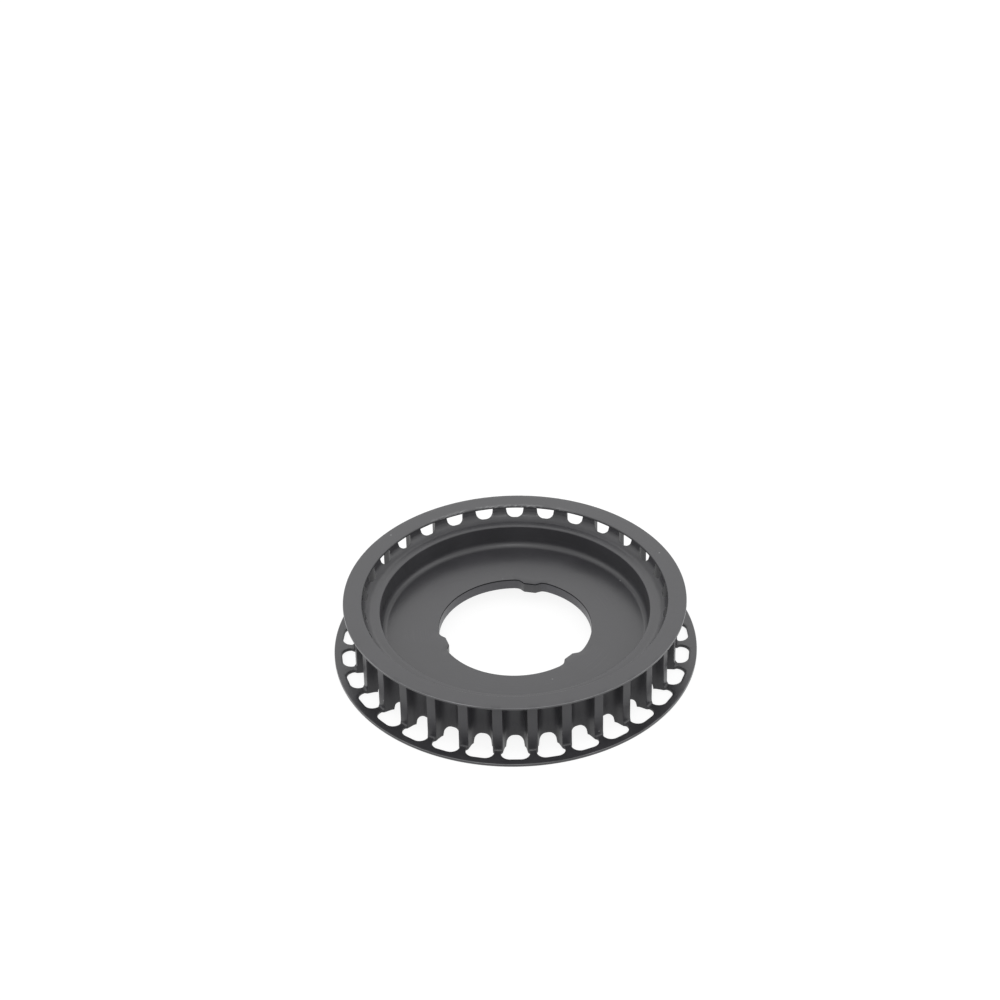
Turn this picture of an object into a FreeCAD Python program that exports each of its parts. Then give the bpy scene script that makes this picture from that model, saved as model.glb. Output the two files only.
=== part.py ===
import FreeCAD, Part
import math
import os

import Sketcher

# Toothed belt pulley with two flanges and a three-lug bore, in millimetres.
# The axis is Z, the underside of the large flange lies on z = 0, and one bore lug points along +X.

doc = FreeCAD.newDocument("belt_pulley")
sizes = doc.addObject("Spreadsheet::Sheet", "Sizes")

DIMENSIONS = [
    ("tooth_count", 30),
    ("belt_pitch", 8.0),
    # The belt's pitch line runs this far outside the tooth tips.
    ("pitch_line_offset", 0.69),
    # Tooth spaces are given as shares of the belt pitch, so they follow the belt.
    ("tooth_depth_share", 0.40),
    ("space_root_share", 0.5125),
    ("space_tip_share", 0.705),
    ("root_corner_share", 0.275),
    # Each tooth space goes on outwards as a wider window through the large flange.
    ("window_width_share", 0.8125),
    ("window_shoulder_share", 0.05),
    ("window_shoulder_corner_share", 0.05),
    ("window_reach_share", 0.355),
    ("window_corner_share", 0.255),
    ("overall_height", 14.7),
    ("lower_flange_lip", 4.62),
    ("lower_flange_thickness", 0.7),
    ("upper_flange_lip", 2.05),
    ("upper_flange_thickness", 0.5),
    ("tooth_foot_radius", 0.5),
    # Both end recesses cut into the tooth roots, which opens the tooth spaces inwards.
    ("recess_inset", 2.3),
    ("upper_recess_depth", 3.0),
    ("upper_recess_corner", 2.4),
    ("lower_recess_depth", 3.5),
    ("lower_recess_corner", 3.2),
    ("cup_wall", 3.2),
    ("cup_floor_height", 6.1),
    ("cup_corner", 1.5),
    ("bore_radius", 17.7),
    ("lug_count", 3),
    ("lug_rise", 1.3),
    ("lug_tip_width", 2.7),
    ("lug_tip_corner", 0.4),
    ("lug_base_width", 5.4),
    ("lug_base_corner", 1.5),
    ("lug_root_width", 9.4),
    ("edge_break", 0.22),
    ("rim_break", 0.08),
]

for row, (alias, amount) in enumerate(DIMENSIONS, start=1):
    sizes.set("A%d" % row, alias)
    sizes.set("B%d" % row, str(amount))
    sizes.setAlias("B%d" % row, alias)
doc.recompute()

# Sizes that several sketches share, written once from the sheet.
TIP = "(Sizes.tooth_count * Sizes.belt_pitch / (2 * pi) - Sizes.pitch_line_offset)"
ROOT = "(%s - Sizes.tooth_depth_share * Sizes.belt_pitch)" % TIP
LOWER_RIM = "(%s + Sizes.lower_flange_lip)" % TIP
UPPER_RIM = "(%s + Sizes.upper_flange_lip)" % TIP
RECESS = "(%s - Sizes.recess_inset)" % TIP
CUP = "(%s - Sizes.cup_wall)" % ROOT
WINDOW_SHOULDER = "(%s + Sizes.window_shoulder_share * Sizes.belt_pitch)" % TIP
WINDOW_END = "(%s + Sizes.window_reach_share * Sizes.belt_pitch)" % TIP
HEIGHT = "Sizes.overall_height"
UPPER_UNDERSIDE = "(Sizes.overall_height - Sizes.upper_flange_thickness)"
SHELF = "(Sizes.overall_height - Sizes.upper_recess_depth)"
FLOOR = "Sizes.cup_floor_height"
UNDERSIDE = "Sizes.lower_recess_depth"
BREAK = "Sizes.edge_break"
RIM_BREAK = "Sizes.rim_break"


def number(expression):
    """Value of a sheet expression as a plain float."""
    return float(sizes.evalExpression(expression))


def bind(sketch, constraint, expression):
    """Add a dimension to the sketch and drive it from the sheet."""
    index = sketch.addConstraint(constraint)
    sketch.setExpression("Constraints[%d]" % index, expression)


def place(sketch, geometry, position, x_expression, y_expression):
    """Hold a sketch point at the two given distances from the sketch origin."""
    for kind, axis, expression in (("DistanceX", -2, x_expression), ("DistanceY", -1, y_expression)):
        amount = number(expression)
        if abs(amount) < 1e-9:
            sketch.addConstraint(Sketcher.Constraint("PointOnObject", geometry, position, axis))
        elif amount > 0:
            bind(sketch, Sketcher.Constraint(kind, -1, 1, geometry, position, amount), expression)
        else:
            mirrored = "-(%s)" % expression
            bind(sketch, Sketcher.Constraint(kind, geometry, position, -1, 1, -amount), mirrored)


def outline(sketch, corners):
    """Draw a closed outline from corners (x, y, corner radius or None), all of them expressions."""
    points = [FreeCAD.Vector(number(x), number(y), 0) for x, y, radius in corners]
    count = len(corners)
    enter, leave, arcs = [], [], []
    for i, (x, y, radius) in enumerate(corners):
        here = points[i]
        back = (points[i - 1] - here).normalize()
        ahead = (points[(i + 1) % count] - here).normalize()
        if radius is None:
            enter.append(here)
            leave.append(here)
            arcs.append(None)
            continue
        size = number(radius)
        half = back.getAngle(ahead) / 2
        run = size / math.tan(half)
        centre = here + (back + ahead).normalize() * (size / math.sin(half))
        enter.append(here + back * run)
        leave.append(here + ahead * run)
        turns_left = back.cross(ahead).z < 0
        first, last = (enter[i], leave[i]) if turns_left else (leave[i], enter[i])
        start = math.atan2(first.y - centre.y, first.x - centre.x)
        end = math.atan2(last.y - centre.y, last.x - centre.x)
        if end < start:
            end += 2 * math.pi
        circle = Part.Circle(centre, FreeCAD.Vector(0, 0, 1), size)
        arcs.append((Part.ArcOfCircle(circle, start, end), turns_left))
    lines = []
    for i in range(count):
        lines.append(sketch.addGeometry(Part.LineSegment(leave[i], enter[(i + 1) % count]), False))
    for i, (x, y, radius) in enumerate(corners):
        before, after = lines[i - 1], lines[i]
        if arcs[i] is None:
            sketch.addConstraint(Sketcher.Constraint("Coincident", before, 2, after, 1))
            place(sketch, after, 1, x, y)
            continue
        curve, turns_left = arcs[i]
        arc = sketch.addGeometry(curve, False)
        near, far = (1, 2) if turns_left else (2, 1)
        sketch.addConstraint(Sketcher.Constraint("Tangent", before, 2, arc, near))
        sketch.addConstraint(Sketcher.Constraint("Tangent", arc, far, after, 1))
        bind(sketch, Sketcher.Constraint("Radius", arc, number(radius)), radius)
        corner = sketch.addGeometry(Part.Point(points[i]), True)
        sketch.addConstraint(Sketcher.Constraint("PointOnObject", corner, 1, before))
        sketch.addConstraint(Sketcher.Constraint("PointOnObject", corner, 1, after))
        place(sketch, corner, 1, x, y)


body = doc.addObject("PartDesign::Body", "belt_pulley")
body.Label = "belt_pulley"


def origin(role):
    """The body's own origin plane or axis with this role."""
    return next(item for item in body.Origin.OriginFeatures if item.Role == role)


def new_sketch(name, role):
    """A sketch lying on one of the body's origin planes."""
    sketch = body.newObject("Sketcher::SketchObject", name)
    sketch.AttachmentSupport = [(origin(role), "")]
    sketch.MapMode = "FlatFace"
    return sketch


def polar(name, feature, count):
    """Repeat a feature evenly around the pulley's axis."""
    pattern = body.newObject("PartDesign::PolarPattern", name)
    pattern.Originals = [feature]
    pattern.Axis = (origin("Z_Axis"), [""])
    pattern.Angle = 360
    pattern.setExpression("Occurrences", count)
    body.Tip = pattern
    doc.recompute()
    return pattern


# The turned blank: both flanges, the toothed band, the stepped cup and the floor with its bore.
section = new_sketch("TurnedSection", "XZ_Plane")
outline(section, [
    (RECESS, "0", None),
    (LOWER_RIM, "0", RIM_BREAK),
    (LOWER_RIM, "Sizes.lower_flange_thickness", RIM_BREAK),
    (TIP, "Sizes.lower_flange_thickness", "Sizes.tooth_foot_radius"),
    (TIP, UPPER_UNDERSIDE, None),
    (UPPER_RIM, UPPER_UNDERSIDE, None),
    (UPPER_RIM, HEIGHT, RIM_BREAK),
    (RECESS, HEIGHT, BREAK),
    (RECESS, SHELF, "Sizes.upper_recess_corner"),
    (CUP, SHELF, BREAK),
    (CUP, FLOOR, "Sizes.cup_corner"),
    ("Sizes.bore_radius", FLOOR, None),
    ("Sizes.bore_radius", UNDERSIDE, None),
    (RECESS, UNDERSIDE, "Sizes.lower_recess_corner"),
])
blank = body.newObject("PartDesign::Revolution", "TurnedBlank")
blank.Profile = section
blank.ReferenceAxis = (section, ["V_Axis"])
blank.Angle = 360
doc.recompute()
blank_volume = blank.Shape.Volume

# One tooth space, cut from below through the large flange and up to the small flange.
space = new_sketch("ToothSpace", "XY_Plane")
ROOT_HALF = "(Sizes.space_root_share * Sizes.belt_pitch / 2)"
TIP_HALF = "(Sizes.space_tip_share * Sizes.belt_pitch / 2)"
WINDOW_HALF = "(Sizes.window_width_share * Sizes.belt_pitch / 2)"
ROOT_CORNER = "Sizes.root_corner_share * Sizes.belt_pitch"
SHOULDER_CORNER = "Sizes.window_shoulder_corner_share * Sizes.belt_pitch"
WINDOW_CORNER = "Sizes.window_corner_share * Sizes.belt_pitch"
outline(space, [
    (ROOT, "-%s" % ROOT_HALF, ROOT_CORNER),
    (TIP, "-%s" % TIP_HALF, None),
    (WINDOW_SHOULDER, "-%s" % WINDOW_HALF, SHOULDER_CORNER),
    (WINDOW_END, "-%s" % WINDOW_HALF, WINDOW_CORNER),
    (WINDOW_END, WINDOW_HALF, WINDOW_CORNER),
    (WINDOW_SHOULDER, WINDOW_HALF, SHOULDER_CORNER),
    (TIP, TIP_HALF, None),
    (ROOT, ROOT_HALF, ROOT_CORNER),
])
cut = body.newObject("PartDesign::Pocket", "ToothSpaceCut")
cut.Profile = space
cut.Type = "Length"
cut.Reversed = True
cut.setExpression("Length", UPPER_UNDERSIDE)
doc.recompute()
one_space = blank_volume - cut.Shape.Volume
if one_space <= 0:
    raise RuntimeError("the tooth space cut removed nothing")

teeth = polar("ToothRing", cut, "Sizes.tooth_count")
if blank_volume - teeth.Shape.Volume < one_space * (number("Sizes.tooth_count") - 0.5):
    raise RuntimeError("tooth spaces are missing from the ring")

# One drive lug, as thick as the floor, then the other lugs around the bore.
lug_sketch = new_sketch("LugShape", "XY_Plane")
lug_sketch.setExpression("AttachmentOffset.Base.z", UNDERSIDE)
LUG_TIP = "(Sizes.bore_radius - Sizes.lug_rise)"
LUG_BASE = "(Sizes.bore_radius - 0.27 * Sizes.lug_rise)"
LUG_ROOT = "(Sizes.bore_radius - 0.38 * Sizes.lug_rise)"
LUG_BACK = "(Sizes.bore_radius + Sizes.lug_rise)"
outline(lug_sketch, [
    (LUG_TIP, "-Sizes.lug_tip_width / 2", "Sizes.lug_tip_corner"),
    (LUG_BASE, "-Sizes.lug_base_width / 2", "Sizes.lug_base_corner"),
    (LUG_ROOT, "-Sizes.lug_root_width / 2", None),
    (LUG_BACK, "-Sizes.lug_root_width / 2", None),
    (LUG_BACK, "Sizes.lug_root_width / 2", None),
    (LUG_ROOT, "Sizes.lug_root_width / 2", None),
    (LUG_BASE, "Sizes.lug_base_width / 2", "Sizes.lug_base_corner"),
    (LUG_TIP, "Sizes.lug_tip_width / 2", "Sizes.lug_tip_corner"),
])
lug = body.newObject("PartDesign::Pad", "DriveLug")
lug.Profile = lug_sketch
lug.Type = "Length"
lug.setExpression("Length", "%s - %s" % (FLOOR, UNDERSIDE))
doc.recompute()
one_lug = lug.Shape.Volume - teeth.Shape.Volume
if one_lug <= 0:
    raise RuntimeError("the lug added nothing")

lugs = polar("DriveLugs", lug, "Sizes.lug_count")
if lugs.Shape.Volume - teeth.Shape.Volume < one_lug * (number("Sizes.lug_count") - 0.5):
    raise RuntimeError("lugs are missing from the bore")

for item in doc.Objects:
    if "Invalid" in item.State or "Error" in item.State:
        raise RuntimeError("%s failed" % item.Name)
if body.Shape.isNull() or not body.Shape.isValid() or len(body.Shape.Solids) != 1:
    raise RuntimeError("the pulley is not one sound solid")

os.makedirs("parts", exist_ok=True)
body.Shape.exportStep("parts/%s.step" % body.Label)
report = (2 * number(LOWER_RIM), number(HEIGHT), body.Shape.Volume)
print("belt_pulley: %.2f mm across, %.2f mm high, %.0f cubic mm" % report)
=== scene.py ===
# %% [markdown]
# A toothed belt pulley for a bicycle hub, turned and milled from one bar of aluminium and hard-anodised
# black. The CAD frame fixes its size and place. This lesson builds the same form again as clean strips of
# quads, because a tessellated solid has razor-sharp edges, and light never catches those as it does here.

import math

import bmesh
import bpy
import numpy as np
from mathutils import Matrix, Vector


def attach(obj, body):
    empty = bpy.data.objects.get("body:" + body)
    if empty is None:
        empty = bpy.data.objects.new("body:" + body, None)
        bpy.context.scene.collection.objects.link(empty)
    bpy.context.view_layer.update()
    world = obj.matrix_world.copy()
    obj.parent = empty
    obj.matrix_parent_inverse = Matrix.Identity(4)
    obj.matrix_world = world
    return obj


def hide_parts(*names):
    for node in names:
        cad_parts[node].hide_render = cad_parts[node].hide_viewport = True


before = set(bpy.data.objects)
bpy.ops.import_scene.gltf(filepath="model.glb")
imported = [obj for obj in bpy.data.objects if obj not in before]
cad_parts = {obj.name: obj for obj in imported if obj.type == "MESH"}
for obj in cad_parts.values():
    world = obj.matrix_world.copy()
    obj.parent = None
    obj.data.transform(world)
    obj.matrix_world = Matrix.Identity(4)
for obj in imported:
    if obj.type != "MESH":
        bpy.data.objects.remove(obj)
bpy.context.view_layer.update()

# %% [markdown]
# First the sizes, in millimetres, as the solid has them. Radii are measured from the pulley's axis and
# heights from the face that it lies on. The belt's pitch times the number of teeth is the length of the pitch
# circle, the tooth tips lie a little inside it, and most other radii are steps from there. Naming each once
# means that every strip below meets its neighbours.

# %% Sizes of the pulley
MM = 0.001
TEETH, PITCH, PITCH_LINE = 30, 8.0, 0.69
HALF_PITCH = math.pi / TEETH
TOOTH_DEPTH = 0.4 * PITCH
RECESS_INSET, CUP_WALL = 2.3, 3.2
LOWER_LIP, UPPER_LIP = 4.62, 2.05
CAP_THICKNESS, UPPER_DEPTH = 0.5, 3.0
TIP = TEETH * PITCH / (2 * math.pi) - PITCH_LINE
ROOT = TIP - TOOTH_DEPTH
RECESS, CUP, BORE = TIP - RECESS_INSET, ROOT - CUP_WALL, 17.7
LOWER_RIM, UPPER_RIM = TIP + LOWER_LIP, TIP + UPPER_LIP
LEDGE, UNDERSIDE, FLOOR, TOP = 0.7, 3.5, 6.1, 14.7
CAP, SHELF = TOP - CAP_THICKNESS, TOP - UPPER_DEPTH
FOOT_ROUND, EDGE_ROUND, RIM_ROUND = 0.5, 0.22, 0.08
BORE_LIP, BORE_BAND = 0.05, 0.3
LOWER_ROUND, UPPER_ROUND, CUP_ROUND = 3.2, 2.4, 1.5
print("tooth tips:", round(2 * TIP, 2), "mm across, for", TEETH, "teeth of", PITCH, "mm pitch")

# %% [markdown]
# A tooth space is one milled slot. Seen from above its outline is straight runs joined by arcs, the path of
# the cutter. Half of it is enough, because the other half is its mirror image. The path is kept as points
# and as distances along it, so any station on it can be read off with one interpolation. Its widths, corners
# and reach are shares of the belt's pitch.


# %% Half of a tooth space, seen from above
def rounded_path(corners, arc_points=120):
    """Straight runs between corners (x, y, r). At a corner with radius r the path leaves the first run at
    r * tan(turn / 2) before the corner and follows the circle of radius r that touches both runs."""
    xy = np.array([corner[:2] for corner in corners], float)
    pieces = [xy[:1]]
    for before, here, after, corner in zip(xy[:-2], xy[1:-1], xy[2:], corners[1:-1]):
        d0 = (here - before) / np.linalg.norm(here - before)
        d1 = (after - here) / np.linalg.norm(after - here)
        turn = math.atan2(d0[0] * d1[1] - d0[1] * d1[0], d0 @ d1)
        side = math.copysign(1.0, turn) * np.array([-d0[1], d0[0]])
        start = here - corner[2] * math.tan(abs(turn) / 2) * d0
        sweep = np.linspace(0, abs(turn), arc_points)[:, None]
        pieces.append(start + corner[2] * (side * (1 - np.cos(sweep)) + d0 * np.sin(sweep)))
    return np.vstack(pieces + [xy[-1:]])


def measured(path, count=40001):
    """The path again at equal steps: distance along it, radius and angle about the axis at each step."""
    run = np.concatenate([[0], np.cumsum(np.linalg.norm(np.diff(path, axis=0), axis=1))])
    step = np.linspace(0, run[-1], count)
    x = np.interp(step, run, path[:, 0])
    y = np.interp(step, run, path[:, 1])
    return step, np.hypot(x, y), np.arctan2(y, x)


ROOT_WIDTH, TIP_WIDTH, WINDOW_WIDTH = 0.5125 * PITCH, 0.705 * PITCH, 0.8125 * PITCH
ROOT_CORNER, SHOULDER_CORNER, WINDOW_CORNER = 0.275 * PITCH, 0.05 * PITCH, 0.255 * PITCH
SHOULDER, WINDOW_END = TIP + 0.05 * PITCH, TIP + 0.355 * PITCH
slot_step, slot_radius, slot_angle = measured(rounded_path([
    (ROOT, 0, 0), (ROOT, ROOT_WIDTH / 2, ROOT_CORNER), (TIP, TIP_WIDTH / 2, 0),
    (SHOULDER, WINDOW_WIDTH / 2, SHOULDER_CORNER), (WINDOW_END, WINDOW_WIDTH / 2, WINDOW_CORNER),
    (WINDOW_END, 0, 0)]))
widest = int(np.argmax(slot_radius))


def slot_at_radius(radius):
    """Distance along the slot's outline at which it reaches a radius, on its way out from the root."""
    return np.interp(radius, slot_radius[:widest], slot_step[:widest])


def slot_point(step):
    """Radius and angle of the outline at a distance along it."""
    return np.interp(step, slot_step, slot_radius), np.interp(step, slot_step, slot_angle)


print("half outline:", round(slot_step[-1], 2), "mm, root to window end")

# %% [markdown]
# The stations along that outline are shared by every strip that touches it: the slot's walls, the flange
# around the window, the rounds that the slot cuts through. Where two strips use the same stations their
# points coincide, and the seam closes when doubles are merged. The counts are cells along each stretch.

# %% Stations that the strips share
ACROSS, IN_SPACE, ON_RING, ON_FLANGE = 3, 4, 6, 4
ON_ROOT, ON_FLANK, ON_WINDOW, ON_FOOT, ON_QUARTER = 12, 7, 16, 2, 4
quarter = np.linspace(0, math.pi / 2, ON_QUARTER + 1)
shoulder_turn = math.acos(1 - (math.hypot(TIP, TIP_WIDTH / 2) - TIP) / FOOT_ROUND)
foot_turn = np.concatenate([np.linspace(0, shoulder_turn, ON_FOOT + 1),
                            np.linspace(shoulder_turn, math.pi / 2, ON_FOOT + 1)[1:]])
foot_radius = TIP + FOOT_ROUND * (1 - np.cos(foot_turn))
foot_height = LEDGE + FOOT_ROUND * (1 - np.sin(foot_turn))
foot_steps = slot_at_radius(foot_radius)
at_recess = slot_at_radius(RECESS)
root_r, root_a = slot_point(np.linspace(0, at_recess, ON_ROOT + 1))
flank_r, flank_a = slot_point(np.linspace(at_recess, foot_steps[0], ON_FLANK + 1))
foot_r, foot_a = slot_point(foot_steps)
window_r, window_a = slot_point(np.linspace(foot_steps[-1], slot_step[-1], ON_WINDOW + 1))
recess_side = np.linspace(flank_a[0], HALF_PITCH, ACROSS + 1)
tip_side = np.linspace(flank_a[-1], HALF_PITCH, ACROSS + 1)
recess_angles = np.concatenate([np.linspace(0, flank_a[0], IN_SPACE + 1), recess_side[1:]])
tip_angles = np.concatenate([np.linspace(0, flank_a[-1], IN_SPACE + 1), tip_side[1:]])
full_turn = np.linspace(0, 2 * math.pi, 2 * TEETH * ON_RING + 1)
print("stations on half a slot:", len(root_r) + len(flank_r) + len(foot_r) + len(window_r) - 3)

# %% [markdown]
# Every strip is a grid of radius, angle and height. Two helpers make nearly all of them: one turns a profile
# about the axis, as the lathe does, and one rules lines from one edge curve to another. A strip is worked
# out for half a tooth pitch and repeated sixty times, or for the full turn.

# %% Helpers that collect the strips
BODY_FINISH, EDGE_FINISH, BORE_EDGE, BORE_WALL, SLOT_WALL, TOOTH_TIP = range(6)
strips = []


def strip(radius, angle, height, finish=BODY_FINISH, repeat=True):
    """Keep one grid. The three arrays are broadcast to the same rows and columns."""
    strips.append((*np.broadcast_arrays(radius, angle, height), finish, repeat))


def turned(profile, angles, finish=BODY_FINISH, repeat=True):
    """Surface of revolution: each profile point (radius, height) is carried round all the angles."""
    radius, height = np.asarray(profile, float).T
    strip(radius[:, None], angles[None, :], height[:, None], finish, repeat)


def ruled(first, second, cells):
    """Blend (1 - t) * first + t * second between two curves of (radius, angle), t running from 0 to 1."""
    t = np.linspace(0, 1, cells + 1)[:, None]
    return [(1 - t) * a + t * b for a, b in zip(first, second)]


def edge_round(radius, height, inward, downward, size):
    """Quarter circle over a square edge, from its flat face round to its upright face. The centre lies one
    size inside both faces; inward and downward are +1 or -1 and say where the material is."""
    return np.stack([radius + size * inward * (1 - np.sin(quarter)),
                     height + size * downward * (1 - np.cos(quarter))], axis=1)


# %% [markdown]
# The slot's walls stand upright, so a wall is the outline repeated at several heights. Near the root the
# slot breaks through the rounded corners of both end recesses, and the wall's ends follow those rounds:
# on a round of size s about (c, h) the height at radius R is h plus or minus sqrt(s^2 - (R - c)^2).


# %% Walls of the tooth spaces
def round_height(radius, centre, size):
    """Height of a corner round above or below its centre: sqrt(size^2 - (radius - centre)^2)."""
    return np.sqrt(np.clip(size ** 2 - (radius - centre) ** 2, 0, None))


lower_centre, upper_centre = RECESS - LOWER_ROUND, RECESS - UPPER_ROUND
lower_start, upper_start = UNDERSIDE - LOWER_ROUND, SHELF + UPPER_ROUND
root_low = lower_start + round_height(root_r, lower_centre, LOWER_ROUND)
root_high = upper_start - round_height(root_r, upper_centre, UPPER_ROUND)
root_low[-1], root_high[-1] = lower_start, upper_start
foot_share = (foot_height[0] - lower_start) / (upper_start - lower_start)
WALL_SHARES = (0.3, 0.55, 0.8)
shares = np.array([0, foot_share, *WALL_SHARES, 1])[:, None]
strip(root_r, root_a, root_low + shares * (root_high - root_low), SLOT_WALL)
wall_rows = np.concatenate([[0], lower_start + shares[:, 0] * (upper_start - lower_start), [CAP]])
strip(flank_r, flank_a, wall_rows[:, None], SLOT_WALL)
ledge_shares = np.array([0, lower_start / foot_height[0], 1])[:, None]
strip(foot_r, foot_a, ledge_shares * foot_height, SLOT_WALL)
strip(window_r, window_a, ledge_shares * LEDGE, SLOT_WALL)
print("heights on a slot's wall:", np.round(wall_rows, 2).tolist())

# %% [markdown]
# Between two slots stands a tooth: its tip is a piece of the blank's cylinder, and a small round leads from
# its foot onto the large flange. Both are turned, but their side edge is the slot's outline, so each row
# starts at the outline's own angle for that radius.

# %% Tooth tips and their feet
turned([(TIP, z) for z in wall_rows[2:]], tip_side, TOOTH_TIP)
foot_angles = np.linspace(foot_a, np.full_like(foot_a, HALF_PITCH), ACROSS + 1, axis=1)
strip(foot_r[:, None], foot_angles, foot_height[:, None])
print("tooth tip width:", round(2 * TIP * (HALF_PITCH - flank_a[-1]), 2), "mm")

# %% [markdown]
# The large flange is a thin disc with a window in front of each slot. Its two faces are ruled from the
# window's edge to the line halfway between two windows and on to the rim, like a letter C around the hole.


# %% The large flange
def around_window(outline_r, outline_a, inner_radius):
    """Ruled face from a stretch of the outline to the mid line between two windows and then the rim."""
    on_middle = len(outline_r) - ON_RING
    rim = LOWER_RIM - RIM_ROUND
    outer_r = np.concatenate([np.linspace(inner_radius, rim, on_middle), np.full(ON_RING, rim)])
    outer_a = np.concatenate([np.full(on_middle, HALF_PITCH), np.linspace(HALF_PITCH, 0, ON_RING + 1)[1:]])
    return ruled((outline_r, outline_a), (outer_r, outer_a), ACROSS)


rim_angles = np.linspace(0, HALF_PITCH, ON_RING + 1)
below_r = np.concatenate([flank_r, foot_r[1:], window_r[1:]])
below_a = np.concatenate([flank_a, foot_a[1:], window_a[1:]])
strip(*around_window(window_r, window_a, foot_r[-1]), LEDGE)
strip(*around_window(below_r, below_a, RECESS), 0.0)
turned(edge_round(LOWER_RIM, LEDGE, -1, -1, RIM_ROUND), rim_angles, EDGE_FINISH)
turned([(LOWER_RIM, LEDGE - RIM_ROUND), (LOWER_RIM, RIM_ROUND)], rim_angles)
turned(edge_round(LOWER_RIM, 0.0, -1, 1, RIM_ROUND), rim_angles, EDGE_FINISH)
print("large flange:", round(2 * LOWER_RIM, 2), "mm across,", LEDGE, "mm thick")

# %% [markdown]
# The small flange closes the slots at the top. Its underside has two parts: a ring outside the teeth, and a
# patch that roofs each slot, whose rows are arcs of the radius that the slot's side has there.

# %% The small flange
turned([(RECESS, CAP), (RECESS, TOP - EDGE_ROUND)], recess_angles)
turned(edge_round(RECESS, TOP, 1, -1, EDGE_ROUND), recess_angles)
inner_edge = (np.full_like(recess_angles, RECESS + EDGE_ROUND), recess_angles)
outer_edge = (np.full_like(tip_angles, UPPER_RIM - RIM_ROUND), tip_angles)
strip(*ruled(inner_edge, outer_edge, ON_FLANGE), TOP)
turned(edge_round(UPPER_RIM, TOP, -1, -1, RIM_ROUND), tip_angles, EDGE_FINISH)
turned([(UPPER_RIM, TOP - RIM_ROUND), (UPPER_RIM, CAP)], tip_angles)
turned([(UPPER_RIM, CAP), (0.5 * (UPPER_RIM + TIP), CAP), (TIP, CAP)], tip_angles)
strip(flank_r[:, None], flank_a[:, None] * np.linspace(0, 1, IN_SPACE + 1), CAP)
print("small flange:", round(2 * UPPER_RIM, 2), "mm across,", round(TOP - CAP, 2), "mm thick")

# %% [markdown]
# Both end recesses have a large round at the bottom, and the slots cut through it, which leaves the row of
# half-round openings along the wall. The part of a round that the slots reach is ruled in terms of the angle
# around the round itself, so its rows stay even where the surface turns upright.


# %% Rounds of the two recesses
ON_REST = 3
LOWER_RING, UPPER_RING = math.radians(56), math.radians(74)


def around_root(centre, size, ring_turn):
    """Ruled patch of a corner round between the slot's root and the ring at ring_turn, in (turn, angle):
    a point at turn t lies at radius centre + size * cos(t). Gives turn and angle."""
    on_middle = len(root_r) - 1 - ON_RING
    outline_turn = np.arccos(np.clip((root_r - centre) / size, -1, 1))
    outer_turn = np.concatenate([np.full(ON_RING, ring_turn), np.linspace(ring_turn, 0, on_middle + 1)])
    outer_a = np.concatenate([rim_angles[:-1], np.full(on_middle + 1, HALF_PITCH)])
    return ruled((outline_turn, root_a), (outer_turn, outer_a), ACROSS)


def recess_round(centre, start, size, ring_turn, up, wall_end):
    """One recess: patch around the roots, upright strip beside them, and the rest of the round."""
    turn, angle = around_root(centre, size, ring_turn)
    strip(centre + size * np.cos(turn), angle, start + up * size * np.sin(turn))
    turned([(RECESS, wall_end), (RECESS, start)], recess_side)
    rest = np.linspace(ring_turn, math.pi / 2, ON_REST + 1)
    turned(np.stack([centre + size * np.cos(rest), start + up * size * np.sin(rest)], axis=1),
           full_turn, repeat=False)


recess_round(lower_centre, lower_start, LOWER_ROUND, LOWER_RING, 1, 0.0)
recess_round(upper_centre, upper_start, UPPER_ROUND, UPPER_RING, -1, CAP)
print("rounds of the recesses:", LOWER_ROUND, "mm below,", UPPER_ROUND, "mm above")

# %% [markdown]
# Inside the teeth the pulley is plain turning: a shelf, the wall of the cup, and a round onto its floor.
# One profile carried round the axis gives each of them.

# %% The cup
ON_CUP_WALL, ON_CUP_ROUND = 4, 8
turned([(upper_centre, SHELF), (0.5 * (upper_centre + CUP), SHELF), (CUP + EDGE_ROUND, SHELF)], full_turn,
       repeat=False)
turned(edge_round(CUP, SHELF, 1, -1, EDGE_ROUND), full_turn, repeat=False)
cup_wall = np.linspace(SHELF - EDGE_ROUND, FLOOR + CUP_ROUND, ON_CUP_WALL + 1)
turned([(CUP, z) for z in cup_wall], full_turn, repeat=False)
cup_turn = np.linspace(0, math.pi / 2, ON_CUP_ROUND + 1)
cup_radius = CUP - CUP_ROUND * (1 - np.cos(cup_turn))
cup_height = FLOOR + CUP_ROUND * (1 - np.sin(cup_turn))
turned(np.stack([cup_radius, cup_height], axis=1), full_turn, repeat=False)
print("cup:", round(2 * CUP, 2), "mm across,", round(TOP - FLOOR, 2), "mm deep")
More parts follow.
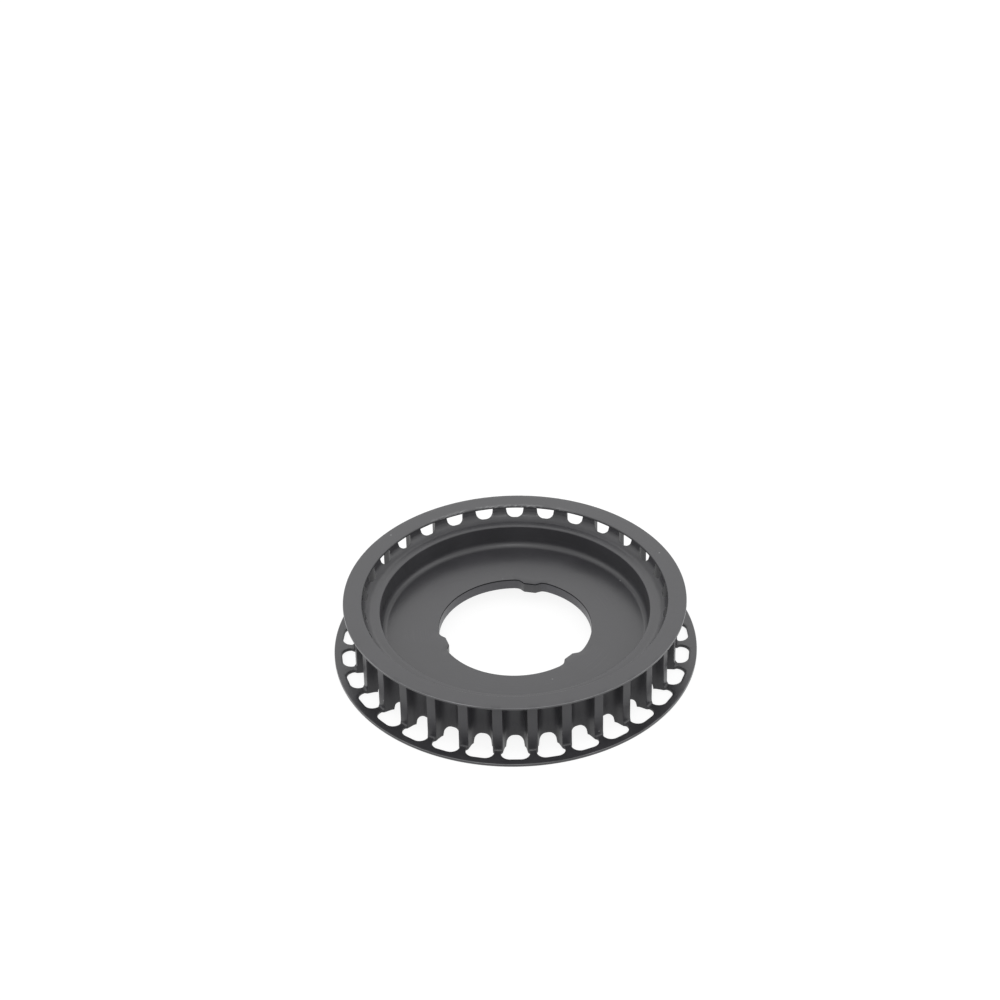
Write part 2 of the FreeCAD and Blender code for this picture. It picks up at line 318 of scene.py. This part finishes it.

# %% [markdown]
# The bore has three low lugs that key into notches of the hub. Its outline is made like the slot's: half a
# lug as a rounded path up to the bore's circle, then the circle to halfway between two lugs. Half of the
# stations go to the lug, whose small corners need them most. The round wall is painted paler: partly wear
# from the hub that slides along it, partly a painted reflection of the white table below. The face of each
# lug keeps the body's dark. The narrow break along the upper edge is painted near-black, as painted shade.

# %% The bore with its lugs
LUGS, LUG_RISE = 3, 1.3
LUG_TIP_WIDTH, LUG_BASE_WIDTH, LUG_ROOT_WIDTH = 2.7, 5.4, 9.4
LUG_TIP_CORNER, LUG_BASE_CORNER = 0.4, 1.5
LUG_BASE_SHARE, LUG_ROOT_SHARE = 0.27, 0.38
ON_FLOOR, ON_UNDERSIDE = 6, 7
LUG_CELLS = len(full_turn) // (4 * LUGS)
lug_tip, lug_base, lug_root = (BORE - share * LUG_RISE for share in (1, LUG_BASE_SHARE, LUG_ROOT_SHARE))
lug_step, lug_r, lug_a = measured(rounded_path([
    (lug_tip, 0, 0), (lug_tip, LUG_TIP_WIDTH / 2, LUG_TIP_CORNER),
    (lug_base, LUG_BASE_WIDTH / 2, LUG_BASE_CORNER), (lug_root, LUG_ROOT_WIDTH / 2, 0)]))
lug_end = int(np.argmax(lug_r >= BORE))
on_lug = np.linspace(0, lug_step[lug_end], LUG_CELLS + 1)
on_circle = np.linspace(lug_a[lug_end], math.pi / LUGS, LUG_CELLS + 1)[1:]
half_r = np.concatenate([np.interp(on_lug, lug_step, lug_r), np.full(LUG_CELLS, BORE)])
half_a = np.concatenate([np.interp(on_lug, lug_step, lug_a), on_circle])
third_r = np.concatenate([half_r, half_r[-2::-1]])
third_a = np.concatenate([half_a, 2 * math.pi / LUGS - half_a[-2::-1]])
thirds = np.arange(LUGS)[:, None] * 2 * math.pi / LUGS
bore_r = np.append(np.tile(third_r[:-1], LUGS), third_r[0])
bore_a = np.append((thirds + third_a[:-1]).ravel(), 2 * math.pi)
bore_top = FLOOR - BORE_BAND
bore_rows = np.array([UNDERSIDE, 0.5 * (UNDERSIDE + bore_top), bore_top])[:, None]
third, face = 4 * LUG_CELLS, 2 * LUG_CELLS // 3
stretches = [(0, face, BODY_FINISH), (face, third - face, BORE_WALL), (third - face, third, BODY_FINISH)]
for start in range(0, LUGS * third, third):
    for first, last, finish in stretches:
        cut = slice(start + first, start + last + 1)
        strip(bore_r[cut], bore_a[cut], bore_rows, finish, repeat=False)
lip_rows = np.array([bore_top, FLOOR])[:, None]
strip(np.stack([bore_r, bore_r + BORE_LIP]), bore_a, lip_rows, BORE_EDGE, repeat=False)
floor_circle = (np.full_like(full_turn, CUP - CUP_ROUND), full_turn)
below_circle = (np.full_like(full_turn, lower_centre), full_turn)
strip(*ruled((bore_r + BORE_LIP, bore_a), floor_circle, ON_FLOOR), FLOOR, repeat=False)
strip(*ruled((bore_r, bore_a), below_circle, ON_UNDERSIDE), UNDERSIDE, repeat=False)
print("bore:", 2 * BORE, "mm across, lug tips at", round(2 * lug_r.min(), 2), "mm")

# %% [markdown]
# Now the strips become one mesh. Angles are mirrored and stepped round the axis with broadcasting, so sixty
# copies cost one line. Doubles are merged along the seams and the faces are turned outwards together.


# %% One closed mesh
def strip_mesh(radius, angle, height, repeat):
    """Points (R cos a, R sin a, z) of all copies, in metres, and four corners for each cell of the grid."""
    if repeat:
        step = np.arange(TEETH)[:, None, None] * 2 * HALF_PITCH
        angle = np.concatenate([step + angle, step - angle])
    else:
        angle = angle[None]
    points = np.stack(np.broadcast_arrays(radius * np.cos(angle), radius * np.sin(angle), height), axis=-1)
    index = np.arange(angle.size).reshape(angle.shape)
    cells = np.stack([index[:, :-1, :-1], index[:, :-1, 1:], index[:, 1:, 1:], index[:, 1:, :-1]], axis=-1)
    return MM * points.reshape(-1, 3), cells.reshape(-1, 4)


WELD_DISTANCE = 0.004 * MM
points, cells, finishes, offset = [], [], [], 0
for radius, angle, height, finish, repeat in strips:
    strip_points, strip_cells = strip_mesh(radius, angle, height, repeat)
    points.append(strip_points)
    cells.append(strip_cells + offset)
    finishes.append(np.full(len(strip_cells), finish))
    offset += len(strip_points)
pulley_mesh = bpy.data.meshes.new("pulley_body")
pulley_mesh.from_pydata(np.concatenate(points).tolist(), [], np.concatenate(cells).tolist())
pulley_mesh.polygons.foreach_set("material_index", np.concatenate(finishes))
weld = bmesh.new()
weld.from_mesh(pulley_mesh)
bmesh.ops.remove_doubles(weld, verts=weld.verts, dist=WELD_DISTANCE)
bmesh.ops.recalc_face_normals(weld, faces=weld.faces)
weld.to_mesh(pulley_mesh)
weld.free()
pulley_mesh.shade_smooth()
pulley = bpy.data.objects.new("pulley_body", pulley_mesh)
bpy.context.scene.collection.objects.link(pulley)
print("strips:", len(strips), "quads:", len(pulley_mesh.polygons), "points:", len(pulley_mesh.vertices))

# %% [markdown]
# A deburred edge is what makes a machined part look real: every outer edge is rubbed down by about a tenth of
# a millimetre, less in the bore, and catches the light. The edges are found from the angle between the two
# faces that meet there, all at once, and a Bevel modifier rounds the outer ones. Inner corners stay as sharp
# as the cutter left them.

# %% Deburred edges
DEBURR, BORE_SHARE, BORE_REACH = 0.09 * MM, 0.3, (BORE + 0.6) * MM
SHARP_BEND = math.radians(33)
edge_of_corner = np.empty(len(pulley_mesh.loops), int)
pulley_mesh.loops.foreach_get("edge_index", edge_of_corner)
corner_count = np.empty(len(pulley_mesh.polygons), int)
pulley_mesh.polygons.foreach_get("loop_total", corner_count)
normal = np.empty(3 * len(pulley_mesh.polygons))
centre = np.empty(3 * len(pulley_mesh.polygons))
pulley_mesh.polygons.foreach_get("normal", normal)
pulley_mesh.polygons.foreach_get("center", centre)
normal, centre = normal.reshape(-1, 3), centre.reshape(-1, 3)
open_edges = int((np.bincount(edge_of_corner) != 2).sum())
face_of_corner = np.repeat(np.arange(len(corner_count)), corner_count)
sides = face_of_corner[np.argsort(edge_of_corner, kind="stable")].reshape(-1, 2)
bend = np.arccos(np.clip((normal[sides[:, 0]] * normal[sides[:, 1]]).sum(1), -1, 1))
outer = ((centre[sides[:, 1]] - centre[sides[:, 0]]) * normal[sides[:, 0]]).sum(1) < 0
sharp = bend > SHARP_BEND
in_bore = np.hypot(*(0.5 * (centre[sides[:, 0]] + centre[sides[:, 1]]))[:, :2].T) < BORE_REACH
weight = pulley_mesh.attributes.new("bevel_weight_edge", "FLOAT", "EDGE")
weight.data.foreach_set("value", np.where(in_bore, BORE_SHARE, 1.0).astype(np.float32) * (sharp & outer))
kept_sharp = pulley_mesh.attributes.new("sharp_edge", "BOOLEAN", "EDGE")
kept_sharp.data.foreach_set("value", sharp & ~outer)
deburr = pulley.modifiers.new("deburr", "BEVEL")
deburr.limit_method, deburr.width, deburr.segments = "WEIGHT", DEBURR, 2
deburr.use_clamp_overlap = False
even = pulley.modifiers.new("even_shading", "WEIGHTED_NORMAL")
even.keep_sharp = True
print("open edges:", open_edges, "rounded edges:", int((sharp & outer).sum()))

# %% [markdown]
# The piece moves with the pulley's one body and stands for the CAD solid, which stays hidden for collision.

# %% Place of the piece in the frame
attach(pulley, "root")
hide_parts("belt_pulley")
print("piece:", pulley.name, "rides on root")

# %% [markdown]
# The finish is hard anodising over blasted metal: a dark grey oxide with a satin sheen. Up close it is never
# one tone. The blasting leaves a fine grain, the lathe's feed still shows as faint rings, and handling leaves
# pale specks. Each of these is a node group, built once and placed in every finish with its own values.


# %% Helpers for shader nodes
def put(tree, kind, settings=(), **inputs):
    """Add a node; settings are its own properties and inputs are values or sockets by input name."""
    made = tree.nodes.new(kind)
    for name, value in dict(settings).items():
        setattr(made, name, value)
    for name, value in inputs.items():
        socket = made.inputs[int(name[1:])] if name[1:].isdigit() else made.inputs[name.replace("_", " ")]
        if isinstance(value, bpy.types.NodeSocket):
            tree.links.new(value, socket)
        else:
            socket.default_value = value
    return made


def maths(tree, operation, first, second=0.0):
    """One Math node and its result."""
    return put(tree, "ShaderNodeMath", {"operation": operation}, i0=first, i1=second).outputs[0]


def axis_distance(tree, vector):
    """Parts of a vector and its distance from the z axis, sqrt(x^2 + y^2)."""
    parts = put(tree, "ShaderNodeSeparateXYZ", Vector=vector).outputs
    flat = put(tree, "ShaderNodeCombineXYZ", X=parts["X"], Y=parts["Y"]).outputs[0]
    return parts, put(tree, "ShaderNodeVectorMath", {"operation": "LENGTH"}, i0=flat).outputs["Value"]


def ramp(tree, value, start, end, low=0.0, high=1.0):
    """Value carried from the span start to end onto low to high, and held beyond it."""
    return put(tree, "ShaderNodeMapRange", Value=value, From_Min=start, From_Max=end, To_Min=low,
               To_Max=high).outputs[0]


def effect_group(name, inputs, outputs):
    """An empty node group with named float or vector sockets, and its input and output nodes."""
    tree = bpy.data.node_groups.new(name, "ShaderNodeTree")
    for socket, kind in inputs:
        tree.interface.new_socket(socket, in_out="INPUT", socket_type=kind)
    for socket in outputs:
        tree.interface.new_socket(socket, in_out="OUTPUT", socket_type="NodeSocketFloat")
    return tree, tree.nodes.new("NodeGroupInput").outputs, tree.nodes.new("NodeGroupOutput").inputs


print("shader helpers ready")

# %% [markdown]
# Blasted grain is fine noise in the object's own coordinates, in metres. A second, much larger noise clouds
# the dye, as happens where the bath ran a little thinner.

# %% Blasted grain and clouded dye
GRAIN_SCALE, CLOUD_SCALE = 6500.0, 110.0
grain_group, grain_in, grain_out = effect_group(
    "blasted_grain", [("Vector", "NodeSocketVector"), ("Scale", "NodeSocketFloat")], ["Height", "Cloud"])
fine = put(grain_group, "ShaderNodeTexNoise", Vector=grain_in["Vector"], Scale=grain_in["Scale"], Detail=3.0,
           Roughness=0.6)
cloud = put(grain_group, "ShaderNodeTexNoise", Vector=grain_in["Vector"], Scale=CLOUD_SCALE, Detail=4.0,
            Roughness=0.55)
grain_group.links.new(fine.outputs["Fac"], grain_out["Height"])
grain_group.links.new(cloud.outputs["Fac"], grain_out["Cloud"])
print("node group:", grain_group.name)

# %% [markdown]
# A lathe tool leaves rings: lines that keep their distance from the axis, or their height on an upright wall.
# Noise that reads only radius and height is constant along each ring, so it draws exactly these lines. Here
# and there one still shows as a pale trace; a broad noise says where.

# %% Rings from the lathe
RING_SCALE, TRACE_SCALE = 5200.0, 95.0
RING_SPAN, TRACE_SPAN = (0.56, 0.72), (0.52, 0.66)
ring_group, ring_in, ring_out = effect_group(
    "lathe_rings", [("Vector", "NodeSocketVector")], ["Height", "Trace"])
parts, distance = axis_distance(ring_group, ring_in["Vector"])
ring_vector = put(ring_group, "ShaderNodeCombineXYZ", X=distance, Y=parts["Z"]).outputs[0]
rings = put(ring_group, "ShaderNodeTexNoise", Vector=ring_vector, Scale=RING_SCALE, Detail=2.0, Roughness=0.7)
spread = put(ring_group, "ShaderNodeTexNoise", Vector=ring_in["Vector"], Scale=TRACE_SCALE, Detail=1.0)
trace = maths(ring_group, "MULTIPLY", ramp(ring_group, rings.outputs["Fac"], *RING_SPAN),
              ramp(ring_group, spread.outputs["Fac"], *TRACE_SPAN))
ring_group.links.new(rings.outputs["Fac"], ring_out["Height"])
ring_group.links.new(trace, ring_out["Trace"])
print("node group:", ring_group.name)

# %% [markdown]
# Handling marks are few and small. Voronoi cells give one dot per cell, and the cell's own random colour
# decides which dots stay.

# %% Specks from handling
SPECK_SCALE = 420.0
SPECK_SPAN = (0.05, 0.11)
speck_group, speck_in, speck_out = effect_group(
    "handling_specks", [("Vector", "NodeSocketVector"), ("Amount", "NodeSocketFloat")], ["Mask"])
dots = put(speck_group, "ShaderNodeTexVoronoi", Vector=speck_in["Vector"], Scale=SPECK_SCALE)
dot = ramp(speck_group, dots.outputs["Distance"], *SPECK_SPAN, 1.0, 0.0)
chosen = put(speck_group, "ShaderNodeSeparateColor", Color=dots.outputs["Color"]).outputs[0]
kept = maths(speck_group, "LESS_THAN", chosen, speck_in["Amount"])
speck_group.links.new(maths(speck_group, "MULTIPLY", dot, kept), speck_out["Mask"])
print("node group:", speck_group.name)

# %% [markdown]
# The top of the small flange is what knocks against things, and this one was knocked mostly on one side. Its
# scuffs come in clusters: a coarse noise says where, and the distance from the axis keeps them by the two
# edges. A fine noise in distance and arc length, stretched along the ring, breaks each cluster into thin
# streaks. The cosine of the angle from a bearing fades them out round the ring.

# %% Scuffs along the small flange
SCUFF_BEARING, SCUFF_ARC = math.radians(138), (0.84, 0.95)
INNER_BAND = ((RECESS + 0.393) * MM, (RECESS + 1.093) * MM)
OUTER_BAND = ((UPPER_RIM - 0.357) * MM, (UPPER_RIM - 0.057) * MM)
SCUFF_HEIGHT = (TOP - 0.3) * MM
CLUSTER_SCALE, STREAK_SCALE, STREAK_STRETCH = 200.0, 900.0, 6.0
CLUSTER_SPAN, STREAK_SPAN = (0.36, 0.48), (0.47, 0.58)
scuff_group, scuff_in, scuff_out = effect_group(
    "edge_scuffs",
    [("Vector", "NodeSocketVector"), ("Bearing", "NodeSocketVector"), ("Amount", "NodeSocketFloat")],
    ["Mask"])
parts, distance = axis_distance(scuff_group, scuff_in["Vector"])
by_edge = maths(scuff_group, "MAXIMUM", ramp(scuff_group, distance, *INNER_BAND, 1.0, 0.0),
                ramp(scuff_group, distance, *OUTER_BAND))
on_top = maths(scuff_group, "MULTIPLY", by_edge, maths(scuff_group, "GREATER_THAN", parts["Z"], SCUFF_HEIGHT))
along = put(scuff_group, "ShaderNodeVectorMath", {"operation": "DOT_PRODUCT"}, i0=scuff_in["Vector"],
            i1=scuff_in["Bearing"]).outputs["Value"]
facing = maths(scuff_group, "DIVIDE", along, distance)
knocked = maths(scuff_group, "MULTIPLY", on_top, ramp(scuff_group, facing, *SCUFF_ARC))
where = put(scuff_group, "ShaderNodeTexNoise", Vector=scuff_in["Vector"], Scale=CLUSTER_SCALE,
            Detail=1.0).outputs["Fac"]
arc = maths(scuff_group, "MULTIPLY", maths(scuff_group, "ARCTAN2", parts["Y"], parts["X"]), distance)
stretched = maths(scuff_group, "MULTIPLY", distance, STREAK_STRETCH)
streak = put(scuff_group, "ShaderNodeCombineXYZ", X=stretched, Y=arc).outputs[0]
marks = put(scuff_group, "ShaderNodeTexNoise", Vector=streak, Scale=STREAK_SCALE, Detail=3.0).outputs["Fac"]
broken = maths(scuff_group, "MULTIPLY", ramp(scuff_group, where, *CLUSTER_SPAN),
               ramp(scuff_group, marks, *STREAK_SPAN))
scuffed = maths(scuff_group, "MULTIPLY", knocked, broken)
scuff_group.links.new(maths(scuff_group, "MULTIPLY", scuffed, scuff_in["Amount"]), scuff_out["Mask"])
print("node group:", scuff_group.name)


# %% [markdown]
# All finishes are the same oxide. On the body it is dark and satin; along the rims it is thinner and rubbed,
# so the metal's own grey comes through a little. In the bore it is painted paler, partly as wear from the hub
# and partly as a painted reflection of the white table; its upper edge is painted near-black as painted
# shade. The walls of the tooth spaces are duller, as the cutter left them, and painted a little darker as
# painted shade inside the slots; the belt keeps the tips smoother. The tones of a finish are its dark, its
# pale and its marks; the dye's clouds lie between the first two.

# %% The finishes
CLOUD_SPAN, GLOSS_SPREAD = (0.3, 0.7), 0.04
TRACE_SHARE, RING_SHARE = 0.1, 0.6
BUMP_STRENGTH, BUMP_DISTANCE = 0.35, 0.02 * MM


def anodised(name, tones, roughness, specks, scuffs=0.0, ior=1.62):
    """Oxide finish: colour runs from dark to pale with the clouded dye, marks are mixed over it, roughness
    follows the cloud, and the grain and the lathe's rings are added up as the height of a bump."""
    dark, pale, mark = tones
    material = bpy.data.materials.new(name)
    material.use_nodes = True
    tree = material.node_tree
    surface = tree.nodes["Principled BSDF"]
    place = put(tree, "ShaderNodeTexCoord").outputs["Object"]
    grain = put(tree, "ShaderNodeGroup", {"node_tree": grain_group}, Vector=place, Scale=GRAIN_SCALE).outputs
    ring = put(tree, "ShaderNodeGroup", {"node_tree": ring_group}, Vector=place).outputs
    speck = put(tree, "ShaderNodeGroup", {"node_tree": speck_group}, Vector=place, Amount=specks).outputs
    clouded = ramp(tree, grain["Cloud"], *CLOUD_SPAN)
    tone = put(tree, "ShaderNodeMix", {"data_type": "RGBA"}, i0=clouded, i6=(*dark, 1),
               i7=(*pale, 1)).outputs[2]
    wear = maths(tree, "MAXIMUM", speck["Mask"], maths(tree, "MULTIPLY", ring["Trace"], TRACE_SHARE))
    if scuffs > 0:
        scuff = put(tree, "ShaderNodeGroup", {"node_tree": scuff_group}, Vector=place, Amount=scuffs,
                    Bearing=(math.cos(SCUFF_BEARING), math.sin(SCUFF_BEARING), 0)).outputs
        wear = maths(tree, "MAXIMUM", wear, scuff["Mask"])
    worn = put(tree, "ShaderNodeMix", {"data_type": "RGBA"}, i0=wear, i6=tone, i7=(*mark, 1)).outputs[2]
    tree.links.new(worn, surface.inputs["Base Color"])
    gloss = ramp(tree, grain["Cloud"], *CLOUD_SPAN, roughness - GLOSS_SPREAD, roughness + GLOSS_SPREAD)
    tree.links.new(gloss, surface.inputs["Roughness"])
    height = maths(tree, "ADD", grain["Height"], maths(tree, "MULTIPLY", ring["Height"], RING_SHARE))
    bump = put(tree, "ShaderNodeBump", Height=height, Strength=BUMP_STRENGTH, Distance=BUMP_DISTANCE)
    tree.links.new(bump.outputs["Normal"], surface.inputs["Normal"])
    surface.inputs["IOR"].default_value = ior
    return material


BODY_TONES = ((0.0348, 0.0345, 0.038), (0.0465, 0.046, 0.0505), (0.2, 0.2, 0.205))
RUBBED_TONES = ((0.05, 0.05, 0.054), (0.3, 0.3, 0.31), (0.4, 0.4, 0.405))
# Near-black tones of the bore's edge: painted shade along the break at the bore's upper edge.
BORE_EDGE_SHADE_TONES = ((0.012, 0.012, 0.014), (0.018, 0.018, 0.02), (0.05, 0.05, 0.052))
# Paler tones of the bore wall: partly wear from the hub, partly a painted reflection of the white table.
BORE_WEAR_AND_REFLECTION_TONES = ((0.062, 0.061, 0.068), (0.086, 0.085, 0.094), (0.2, 0.2, 0.207))
# Slightly darker tones of the slot walls: painted shade inside the tooth spaces.
SLOT_SHADE_TONES = ((0.031, 0.0307, 0.0338), (0.0414, 0.0409, 0.0449), (0.2, 0.2, 0.205))
by_number = {
    BODY_FINISH: anodised("black_anodised", BODY_TONES, roughness=0.32, specks=0.035, scuffs=0.9),
    EDGE_FINISH: anodised("rubbed_edge", RUBBED_TONES, roughness=0.34, specks=0.06, scuffs=0.6),
    BORE_EDGE: anodised("bore_edge_painted_shade", BORE_EDGE_SHADE_TONES, roughness=0.6, specks=0.02, ior=1.2),
    BORE_WALL: anodised("bore_wall_wear_and_reflection", BORE_WEAR_AND_REFLECTION_TONES, roughness=0.36, specks=0.03, ior=1.5),
    SLOT_WALL: anodised("slot_wall_painted_shade", SLOT_SHADE_TONES, roughness=0.4, specks=0.035, ior=1.45),
    TOOTH_TIP: anodised("tooth_tip", BODY_TONES, roughness=0.34, specks=0.035, ior=1.5)}
for number in sorted(by_number):
    pulley_mesh.materials.append(by_number[number])
print("finishes:", [slot.name for slot in pulley_mesh.materials])

# %% [markdown]
# The pulley lies on a plain white table. For light that bounces off it onto the object, the table is white
# matter with the pulley's shadow on it. For the camera, and where the metal mirrors it, it is mostly a white
# glow, so that the picture's ground stays white and only a trace of the shadow is left.

# %% The white table
TABLE_REACH, TABLE_DROP = 3.0, 0.1 * MM
TABLE_WHITE, WHITE_SEEN, TABLE_GLOW = 0.8, 0.18, 0.88
corners = [(x * TABLE_REACH, y * TABLE_REACH, -TABLE_DROP) for x, y in ((-1, -1), (1, -1), (1, 1), (-1, 1))]
table_mesh = bpy.data.meshes.new("white_table")
table_mesh.from_pydata(corners, [], [(0, 1, 2, 3)])
table = bpy.data.objects.new("white_table", table_mesh)
bpy.context.scene.collection.objects.link(table)
table_finish = bpy.data.materials.new("white_table")
table_finish.use_nodes = True
tree = table_finish.node_tree
tree.nodes.remove(tree.nodes["Principled BSDF"])
rays = put(tree, "ShaderNodeLightPath").outputs
mirrored = maths(tree, "MAXIMUM", rays["Is Glossy Ray"], rays["Is Transmission Ray"])
seen = maths(tree, "MAXIMUM", rays["Is Camera Ray"], mirrored)
whiteness = maths(tree, "SUBTRACT", TABLE_WHITE, maths(tree, "MULTIPLY", seen, TABLE_WHITE - WHITE_SEEN))
matter = put(tree, "ShaderNodeBsdfDiffuse", Color=whiteness).outputs[0]
brightness = maths(tree, "MULTIPLY", seen, TABLE_GLOW)
glow = put(tree, "ShaderNodeEmission", Color=(1, 1, 1, 1), Strength=brightness).outputs[0]
result = put(tree, "ShaderNodeAddShader", i0=matter, i1=glow).outputs[0]
tree.links.new(result, tree.nodes["Material Output"].inputs["Surface"])
table_mesh.materials.append(table_finish)
print("table:", 2 * TABLE_REACH, "m square")

# %% [markdown]
# The light is a plain studio: an even room, a little dimmer than white, and five weak soft panels around the
# object. The room fills the slots. The panels behind and at the sides lift the flat faces, the high one evens
# them out, and the small one in front draws the bright line along the round of the cup.


# %% Soft studio light
CAMERA_TURN = math.radians(43.043)
PANEL_DISTANCE, ROOM_STRENGTH = 0.75, 0.8


def soft_panel(name, around, height, size, watts):
    """Square panel at one distance from the origin, facing it. It stands at an angle around, counted from the
    camera's right, and an angle up, both in degrees."""
    lamp = bpy.data.lights.new(name, "AREA")
    lamp.shape, lamp.size, lamp.energy = "SQUARE", size, watts
    around, height = CAMERA_TURN + math.radians(around), math.radians(height)
    level = math.cos(height)
    spot = PANEL_DISTANCE * Vector((level * math.cos(around), level * math.sin(around), math.sin(height)))
    made = bpy.data.objects.new(name, lamp)
    made.matrix_world = Matrix.Translation(spot) @ spot.to_track_quat("Z", "Y").to_matrix().to_4x4()
    bpy.context.scene.collection.objects.link(made)
    return made


panels = [
    soft_panel("panel_back", around=90, height=36, size=0.5, watts=0.54),
    soft_panel("panel_top", around=270, height=72, size=0.5, watts=0.36),
    soft_panel("panel_front", around=270, height=52, size=0.2, watts=0.42),
    soft_panel("panel_right", around=0, height=44, size=0.5, watts=0.6),
    soft_panel("panel_left", around=180, height=44, size=0.5, watts=0.46)]
room = bpy.data.worlds.new("white_room")
bpy.context.scene.world = room
room.use_nodes = True
room.node_tree.nodes["Background"].inputs["Color"].default_value = (1, 1, 1, 1)
room.node_tree.nodes["Background"].inputs["Strength"].default_value = ROOM_STRENGTH
print("panels:", [panel.name for panel in panels])

# %% [markdown]
# The camera stands where the photographer stood: a long lens, looking down at 36.5 degrees, held a little
# over a degree off level. The numbers come from fitting the circles of the flanges and the spacing of the
# teeth.

# %% Camera
LOOK_DOWN, TILT = math.radians(36.499), math.radians(1.324)
FOCAL_PIXELS, PICTURE_PIXELS, SENSOR = 3170.58, 1000, 36
DISTANCE, ACROSS_OFFSET, UP_OFFSET = 738.37 * MM, 2.842 * MM, -34.314 * MM
right = Vector((1, 0, 0))
up = Vector((0, math.sin(LOOK_DOWN), math.cos(LOOK_DOWN)))
ahead = Vector((0, math.cos(LOOK_DOWN), -math.sin(LOOK_DOWN)))
eye = -ACROSS_OFFSET * right - UP_OFFSET * up - DISTANCE * ahead
tilted_right = math.cos(TILT) * right - math.sin(TILT) * up
tilted_up = math.sin(TILT) * right + math.cos(TILT) * up
columns = [tilted_right, tilted_up, -ahead, eye]
place = Matrix([[column[row] for column in columns] for row in range(3)] + [[0, 0, 0, 1]])
camera = bpy.data.objects.new("camera", bpy.data.cameras.new("camera"))
camera.data.sensor_width = SENSOR
camera.data.lens = SENSOR * FOCAL_PIXELS / PICTURE_PIXELS
camera.data.clip_start, camera.data.clip_end = 0.01, 20
camera.matrix_world = Matrix.Rotation(CAMERA_TURN, 4, "Z") @ place
bpy.context.scene.collection.objects.link(camera)
bpy.context.scene.camera = camera
bpy.context.scene.view_settings.view_transform = "Standard"
print("lens:", round(camera.data.lens, 1), "mm")
